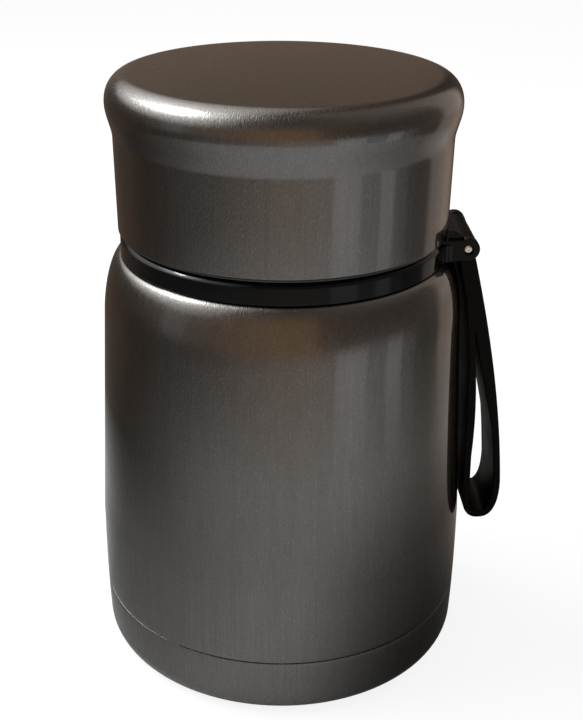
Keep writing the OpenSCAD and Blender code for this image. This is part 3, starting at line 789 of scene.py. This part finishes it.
def ring_line():
    """The ring's section: bore, lower corner, rounded top edge, wall and web."""
    low_edge, high_edge = 0.25, 0.3
    inner_r = RING_R - RING_WALL
    line = [(RING_BORE, RING_Z)]
    line += arc(RING_R - low_edge, RING_Z + low_edge, low_edge, low_edge, -90, 0, steps=4)
    line += arc(RING_R - EDGE_ROUND, RING_TOP - EDGE_ROUND, EDGE_ROUND, EDGE_ROUND, 0, 90, EDGE_POWER, 12)
    line += arc(inner_r + high_edge, RING_TOP - high_edge, high_edge, high_edge, 90, 180, steps=4)
    return line + [(inner_r, RING_Z + RING_WEB), (RING_BORE, RING_Z + RING_WEB)]


def hood_line():
    """The hood's outline, seen from its side: it curls over the strap's barrel and ends in a nose."""
    nose_fall, nose_reach, nose_r = 1.0, 1.7, 0.4
    over = BARREL_R + TURN_GAP
    nose_x, nose_z = PIN_X - over + nose_reach, HOOD_Z - nose_fall
    shelf = math.degrees(math.asin(TURN_GAP / over))
    nose = math.degrees(math.atan2(nose_z - PIN_Z - TURN_GAP, nose_x - PIN_X))
    line = [(RING_MID, PIN_Z + TURN_GAP)] + arc(PIN_X, PIN_Z, over, over, 180 - shelf, nose - 2, steps=16)
    line += arc(nose_x - nose_r, nose_z - nose_r, nose_r, nose_r, 20, 70, steps=4)
    return line + [(HOOD_IN + 0.5, HOOD_Z - 0.1), (HOOD_IN, HOOD_Z), (RING_MID, HOOD_Z)]


def ear_line():
    """An ear's outline, seen from its side: from the ring's wall out around the pin."""
    root_x = math.sqrt(RING_MID ** 2 - EAR_OUT ** 2)
    meet = math.degrees(math.asin((RING_TOP - PIN_Z) / EAR_R))
    line = [(root_x, RING_Z), (PIN_X - 0.4, RING_Z)]
    line += arc(PIN_X, PIN_Z, EAR_R, EAR_R, -82, 180 - meet, steps=40)
    return line + [(root_x, RING_TOP)]


def fillet(side):
    """What fills the corner between an ear and the ring's wall, on one side of the hinge."""
    centre_x = math.sqrt((RING_R + BLEND_R) ** 2 - (EAR_OUT + BLEND_R) ** 2)
    touch_x = centre_x * (RING_R / (RING_R + BLEND_R))
    sweep = math.degrees(math.atan2(EAR_OUT + BLEND_R, centre_x))
    back_y = EAR_OUT - FILLET_SINK
    line = arc(centre_x, EAR_OUT + BLEND_R, BLEND_R, BLEND_R, 180 + sweep, 270, steps=12)
    line += [(centre_x, back_y), (touch_x - FILLET_SINK, back_y)]
    bm = bmesh.new()
    skinned(bm, [
        [bm.verts.new((x * MM, side * y * MM, z * MM)) for x, y in line]
        for z in (RING_Z + 0.05, RING_TOP - EDGE_ROUND)
    ])
    bmesh.ops.recalc_face_normals(bm, faces=bm.faces)
    return bm


def neck_ring():
    """The gloss ring with its two ears, the fillets beside them, and the hood over the hinge."""
    hood_half = (EAR_IN + EAR_OUT) / 2
    past = EAR_OUT + 1
    steps = [("UNION", slab([hood_line()], -hood_half, hood_half, 0.25))]
    for near, far in ((-EAR_OUT, -EAR_IN), (EAR_IN, EAR_OUT)):
        steps.append(("UNION", slab([ear_line()], near, far, 0.3)))
    steps += [("UNION", fillet(side)) for side in (-1, 1)]
    above = HOOD_Z + 2
    steps.append(("DIFFERENCE", turned([(0, RING_TOP), (HOOD_IN, RING_TOP), (HOOD_IN, above), (0, above)])))
    steps.append(("DIFFERENCE", rod(PIN_R + 0.02, -past, past, PIN_X, PIN_Z)))
    for near, far in ((-past, -EAR_OUT + PIN_SINK), (EAR_OUT - PIN_SINK, past)):
        steps.append(("DIFFERENCE", rod(PIN_R + PIN_RING, near, far, PIN_X, PIN_Z)))
    piece = new_object("ring_skin", carved(turned(ring_line()), steps), "ring", GLOSS_BLACK, 32)
    flat_faces(piece)
    stand_for(piece, "strap_ring")


def pin():
    """The hinge pin, with a dimpled dome at each end."""
    half, dome, dimple_r, dimple = EAR_OUT - PIN_SINK / 2, 0.3, 0.3, 0.1
    end = [(0, half - dimple), (dimple_r, half - 0.8 * dimple)]
    end += arc(0, half - dome, PIN_R, dome, 66, 0, steps=10)
    bm = turned([(r, -y) for r, y in end] + end[::-1], ROD_AROUND)
    bmesh.ops.rotate(bm, verts=bm.verts, cent=(0, 0, 0), matrix=Matrix.Rotation(math.pi / 2, 3, "X"))
    bmesh.ops.translate(bm, verts=bm.verts, vec=(PIN_X * MM, 0, PIN_Z * MM))
    stand_for(new_object("pin_skin", bm, "ring", BRIGHT_STEEL), "hinge_pin")


def strap_curves():
    """The strap's two edges between its barrel and its loop's foot, on the outside and beside the jar."""
    overhang = max(0.0, BODY_R - SHOULDER_IN - PIN_X)
    shoulder_h = SEAT_Z - SHOULDER_Z
    outer = curve(
        (PIN_X + 0.7 * EAR_R, PIN_Z - 0.4 * EAR_R),
        (PIN_X + 2.6 * EAR_R + 2.1 * overhang, PIN_Z - 0.33 * STRAP_LEN + 2.5 * overhang),
        (STRAP_OUT - 0.12 * LOOP_W, TURN_OUT_Z + 0.27 * STRAP_LEN), (STRAP_OUT, TURN_OUT_Z),
    )
    inner = curve(
        (STRAP_IN, TURN_IN_Z), (STRAP_IN - STRAP_GAP, TURN_IN_Z + 0.4 * STRAP_LEN),
        (STRAP_IN + STRAP_GAP / 2 + overhang, SHOULDER_Z - 0.16 * shoulder_h + overhang),
        (PIN_X - 0.8 * EAR_R, PIN_Z - 0.5 * EAR_R),
    )
    return outer, inner


def off_barrel(line):
    return [p for p in line if math.hypot(p[0] - PIN_X, p[1] - PIN_Z) > BARREL_R + 0.02]


def angle_at_pin(place):
    return math.degrees(math.atan2(place[1] - PIN_Z, place[0] - PIN_X))


def strap_hole(outer, inner, inset_right, inset_left):
    """The teardrop opening: inside the strap's thickness, and under the wedge of its solid stem."""
    slit_z = PIN_Z - STEM_LEN
    left_z, heel_z, right_z = (slit_z - share * STRAP_LEN for share in (0.25, 0.4, 0.3))
    tip = (0.68 * across(inner, slit_z) + 0.32 * across(outer, slit_z), slit_z)
    wedge_left = curve(
        tip, (across(inner, left_z) + 1.46 * STRAP_T, left_z),
        (across(inner, heel_z) + 1.7 * STRAP_T, heel_z), (STRAP_IN, STRAP_LOW),
    )
    wedge_right = [
        tip, (across(outer, right_z) - 1.3 * STRAP_T, right_z), (STRAP_OUT, TURN_OUT_Z),
        (STRAP_OUT, STRAP_LOW),
    ]
    bottom = min(inset_right + inset_left, key=lambda p: p[1])
    floor_z, levels = bottom[1], 70
    hole_left, hole_right = [], []
    for i in range(1, levels):
        z = floor_z + (slit_z - floor_z) * (i / levels) ** 2.2
        hole_left.append((max(across(inset_left, z), across(wedge_left, z)), z))
        hole_right.append((min(across(inset_right, z), across(wedge_right, z)), z))
    return [bottom] + hole_left + [tip] + hole_right[::-1]


def carrying_strap():
    """The moulded strap: barrel on the pin, solid stem, and the teardrop loop below it."""
    outer, inner = strap_curves()
    turn_x = STRAP_IN + 0.45 * LOOP_W
    right = outer + arc(turn_x, TURN_OUT_Z, STRAP_OUT - turn_x, TURN_OUT_Z - STRAP_LOW, 0, -90, 2.5)[1:]
    left = arc(turn_x, TURN_IN_Z, turn_x - STRAP_IN, TURN_IN_Z - STRAP_LOW, -90, -180, 2.5)[1:] + inner[1:]
    right, left = off_barrel(right), off_barrel(left)
    barrel = arc(
        PIN_X, PIN_Z, BARREL_R, BARREL_R, angle_at_pin(left[-1]) + 359, angle_at_pin(right[0]) + 1, steps=40,
    )
    outline = (right + left + barrel)[::-1]
    inset = moved_in(right + left, -STRAP_T)
    hole = strap_hole(outer, inner, inset[:len(right)], inset[len(right):])
    half = STRAP_W / 2
    solid = carved(
        slab([outline, hole], -half, half, 0.35),
        [("DIFFERENCE", rod(PIN_R + 0.06, -half - 1, half + 1, PIN_X, PIN_Z))],
    )
    piece = new_object("strap_skin", solid, "strap", SOFT_BLACK, 35)
    flat_faces(piece)
    stand_for(piece, "strap")


dress_frame()
jar_shell()
jar_base()
flask()
lid_skin()
lid_inside()
stopper()
stopper_cover()
vent_button()
spring()
seals()
neck_ring()
pin()
carrying_strap()


# ---------------------------------------------------------- floor and light

# What reflections show of the studio, against the angle from the front, growing to the right: each
# stop has its angle, its brightness and its warmth. In turn the table, with the jar's shadow painted
# on it to its right, the painted shade that dims it close to the jar, the foot of the walls, the walls
# with their panels, the room over the horizon, and what is above it.
# The table seen in reflections; its dark stretch to the right, from 36 to 128 degrees, is the jar's painted
# shadow.
SHADOWED_TABLE = [
    (-180, 0.48, 0), (-125, 0.38, 0), (-100, 0.25, 0), (-75, 0.34, 0), (-50, 0.50, 0), (-20, 0.78, 0),
    (8, 0.90, 0), (22, 0.74, 0), (36, 0.50, 0), (50, 0.36, 0.1), (70, 0.27, 0.2), (112, 0.26, 0.3),
    (128, 0.32, 0.2), (180, 0.48, 0),
]
SHADE = [
    (-180, 1.0, 0), (0, 1.0, 0), (24, 0.60, 0), (45, 0.48, 0), (125, 0.60, 0), (180, 1.0, 0),
]
FOOT = [
    (-180, 0.14, 0.2), (-125, 0.08, 0.3), (-108, 0.11, 0.3), (-79, 0.30, 0.1), (-58, 0.60, 0),
    (-35, 0.80, 0), (5, 0.92, 0), (36, 0.92, 0), (47, 0.86, 0), (60, 0.68, 0), (80, 0.48, 0),
    (92, 0.36, 0.2), (103, 0.33, 0.2), (118, 0.50, 0.2), (137, 0.60, 0.2), (160, 0.15, 0.3),
    (180, 0.14, 0.2),
]
WALL = [
    (-180, 0.06, 0.6), (-125, 0.12, 0.8), (-100, 0.09, 0.5), (-74, 0.13, 0.3), (-53, 0.18, 0.2),
    (-20, 0.37, 0.4), (5, 0.54, 0.5), (24, 0.52, 0.4), (29, 0.42, 0.2), (32, 1.06, 0), (49, 1.0, 0),
    (52, 0.42, 0), (64, 0.42, 0), (66, 0.95, 0), (75, 0.85, 0), (78, 0.30, 0.1), (86, 0.24, 0.2),
    (90, 0.12, 0.2), (109, 0.13, 0.3), (115, 0.48, 0.4), (139, 0.44, 0.5), (152, 0.22, 0.6),
    (160, 0.05, 0.6), (180, 0.06, 0.6),
]
ROOM = [
    (-180, 0.16, 0.75), (-168, 0.16, 0.75), (-150, 0.10, 0.5), (-100, 0.14, 0.5), (-84, 0.22, 0.3),
    (-79, 0.48, 0.1), (-68, 0.48, 0.1), (-60, 0.26, 0.4), (-30, 0.36, 0.9), (-8, 0.42, 1.15),
    (16, 0.42, 1.15), (24, 0.19, 0.6), (60, 0.17, 0.4), (95, 0.15, 0.4), (110, 0.18, 0.4),
    (119, 0.64, 0.4), (143, 0.60, 0.4), (152, 0.06, 0.5), (164, 0.06, 0.5), (171, 0.16, 0.75),
    (180, 0.16, 0.75),
]
SKY = [
    (-180, 0.16, 0.75), (-165, 0.16, 0.75), (-145, 0.15, 0.4), (0, 0.18, 0.3), (55, 0.28, 0.4),
    (95, 0.38, 0.4), (127, 0.38, 0.4), (150, 0.20, 0.5), (163, 0.16, 0.75), (180, 0.16, 0.75),
]

# Each ramp takes over from the one below it between two heights of the direction, from -1 down to 1 up.
BANDS = ((-0.43, -0.36, WALL), (-0.20, -0.08, ROOM), (0.30, 0.80, SKY))

# Where the window is, seen from the jar, with the size and brightness of its halo and of its pane.
WINDOW = Vector((-0.620, 0.251, 0.743))
HALO_SIZE, HALO_LIGHT = (0.87, 0.62, 1), 6.5
PANE_PLACE, PANE_SIZE, PANE_LIGHT = (0.08, 0.02, 0), (0.34, 0.26, 1), 9.0

# Brightness of the soft light from all around.
FILL = 0.38

# Floor: its glow and its colour for the eye, how far from the jar's axis the painted shade ends, and
# where the table ends in reflections.
FLOOR_R, FLOOR_DROP = 6.0, 0.0002
FLOOR_GLOW, FLOOR_SEEN = 0.86, (0.24, 0.24, 0.237, 1)
SHADE_R, TABLE_R = (0.055, 0.09), (0.11, 0.17)

LAMP_AIM = Vector((0, 0, 0.13))

# What one unit of warmth adds to red, green and blue.
WARM = (0.42, -0.05, -0.37)


def by_angle(t, turn, stops):
    """A ramp of brightness and warmth over the whole turn around the jar."""
    ramp = t.add("ValToRGB", Fac=t.ranged(turn, 0.0, 1.0, -math.pi, math.pi))
    elements = ramp.color_ramp.elements
    while len(elements) < len(stops):
        elements.new(0.5)
    for element, (degrees, level, warmth) in zip(elements, stops):
        element.position = degrees / 360 + 0.5
        element.color = [level * (1 + warmth * k) for k in WARM] + [1]
    return ramp.outputs["Color"]


def floor():
    """White for the eye; reflections see it near the jar, as a table with painted shade and the jar's painted
    shadow, and the studio beyond.
    """
    bm = bmesh.new()
    bmesh.ops.create_circle(bm, cap_ends=True, segments=96, radius=FLOOR_R)
    obj = link_mesh("floor", bm)
    obj.location.z = -FLOOR_DROP
    t = Tree("floor")
    seen, glossy = t.rays()
    out, turn = t.radius(), t.turn(t.scaled(1, 1, 1))
    # For reflections: painted shade close to the jar, times the table with the jar's shadow painted on its
    # right.
    shade = t.mixed(t.ranged(out, 0.0, 1.0, *SHADE_R), by_angle(t, turn, SHADE), (1, 1, 1, 1))
    shown = t.combined("MULTIPLY", shade, by_angle(t, turn, SHADOWED_TABLE))
    plain = t.mixed(glossy, (0.8, 0.8, 0.79, 1), shown)
    glow = t.calc("ADD", t.calc("MULTIPLY", seen, FLOOR_GLOW), t.calc("MULTIPLY", glossy, 0.08))
    t.set(Base_Color=t.mixed(seen, plain, FLOOR_SEEN), Roughness=0.9, Specular_IOR_Level=0.0)
    t.set(Emission_Color=t.mixed(seen, shown, (1, 1, 1, 1)), Emission_Strength=glow)
    beyond = t.calc("MULTIPLY", glossy, t.ranged(out, 0.0, 1.0, *TABLE_R))
    clear = t.add("BsdfTransparent").outputs[0]
    mix = t.add("MixShader", i0=beyond, i1=t.shader.outputs[0], i2=clear).outputs[0]
    t.links.new(mix, t.nodes["Material Output"].inputs["Surface"])
    obj.data.materials.append(t.data)


def spot(t, place, size):
    """1 in the middle of an oval, fading to 0 at its edge."""
    place = t.vector("DIVIDE", place, size)
    return t.add("TexGradient", {"gradient_type": "SPHERICAL"}, Vector=place).outputs["Fac"]


def window(t, where):
    """A tall bright window that fades out into the room around it."""
    side = Vector((0, 0, 1)).cross(WINDOW).normalized()
    right, up, ahead = (t.vector("DOT_PRODUCT", where, tuple(a)) for a in (side, WINDOW.cross(side), WINDOW))
    place = t.add("CombineXYZ", i0=right, i1=up).outputs[0]
    halo = spot(t, place, HALO_SIZE)
    pane = spot(t, t.vector("SUBTRACT", place, PANE_PLACE), PANE_SIZE)
    light = t.calc("ADD", t.calc("MULTIPLY", halo, HALO_LIGHT), t.ranged(pane, 0.0, PANE_LIGHT, 0.0, 0.4))
    return t.calc("MULTIPLY", light, t.ranged(ahead, 0.0, 1.0, 0.0, 0.1))


def world():
    """White for the eye, the studio in reflections, and soft light from all around."""
    t = Tree("studio", bpy.data.worlds, "Background")
    bpy.context.scene.world = t.data
    where = t.add("TexCoord").outputs["Generated"]
    height = t.add("SeparateXYZ", i0=where).outputs["Z"]
    turn = t.turn(where)
    shown = by_angle(t, turn, FOOT)
    for low_end, high_end, stops in BANDS:
        shown = t.mixed(t.ranged(height, 0.0, 1.0, low_end, high_end), shown, by_angle(t, turn, stops))
    lit = t.combined("ADD", shown, window(t, where))
    seen, glossy = t.rays()
    colour = t.mixed(glossy, (FILL, FILL, FILL, 1), lit)
    t.set(Color=t.mixed(seen, colour, (1, 1, 1, 1)), Strength=1.0)


def lamp(name, place, size, power):
    """A lamp with a soft edge, aimed at the jar's lid."""
    data = bpy.data.lights.new(name, "AREA")
    data.shape = "RECTANGLE"
    data.size, data.size_y = size
    data.energy = power
    obj = bpy.data.objects.new(name, data)
    bpy.context.scene.collection.objects.link(obj)
    obj.location = place
    obj.rotation_euler = (LAMP_AIM - Vector(place)).to_track_quat("-Z", "Y").to_euler()
    return obj


def camera():
    data = bpy.data.cameras.new("camera")
    data.lens = CAM_LENS
    data.sensor_width = 36.0
    data.shift_x, data.shift_y = CAM_SHIFT_X, CAM_SHIFT_Y
    data.clip_start, data.clip_end = 0.01, 50
    obj = bpy.data.objects.new("camera", data)
    bpy.context.scene.collection.objects.link(obj)
    turn = Matrix.Rotation(math.radians(CAM_TURN), 4, "Z")
    tilt = Matrix.Rotation(math.radians(90 - CAM_PITCH), 4, "X")
    roll = Matrix.Rotation(math.radians(CAM_ROLL), 4, "Z")
    place = Matrix.Translation((0, -CAM_BACK * MM, CAM_UP * MM))
    obj.matrix_world = turn @ place @ tilt @ roll
    bpy.context.scene.camera = obj


camera()
floor()
world()
lamp("key", (-0.459, 0.123, 0.53), (0.75, 0.42), 4.8).visible_glossy = False
lamp("spark", (-0.433, 0.084, 0.532), (0.22, 0.05), 1.9).visible_diffuse = False

bpy.context.scene.view_settings.view_transform = "Standard"
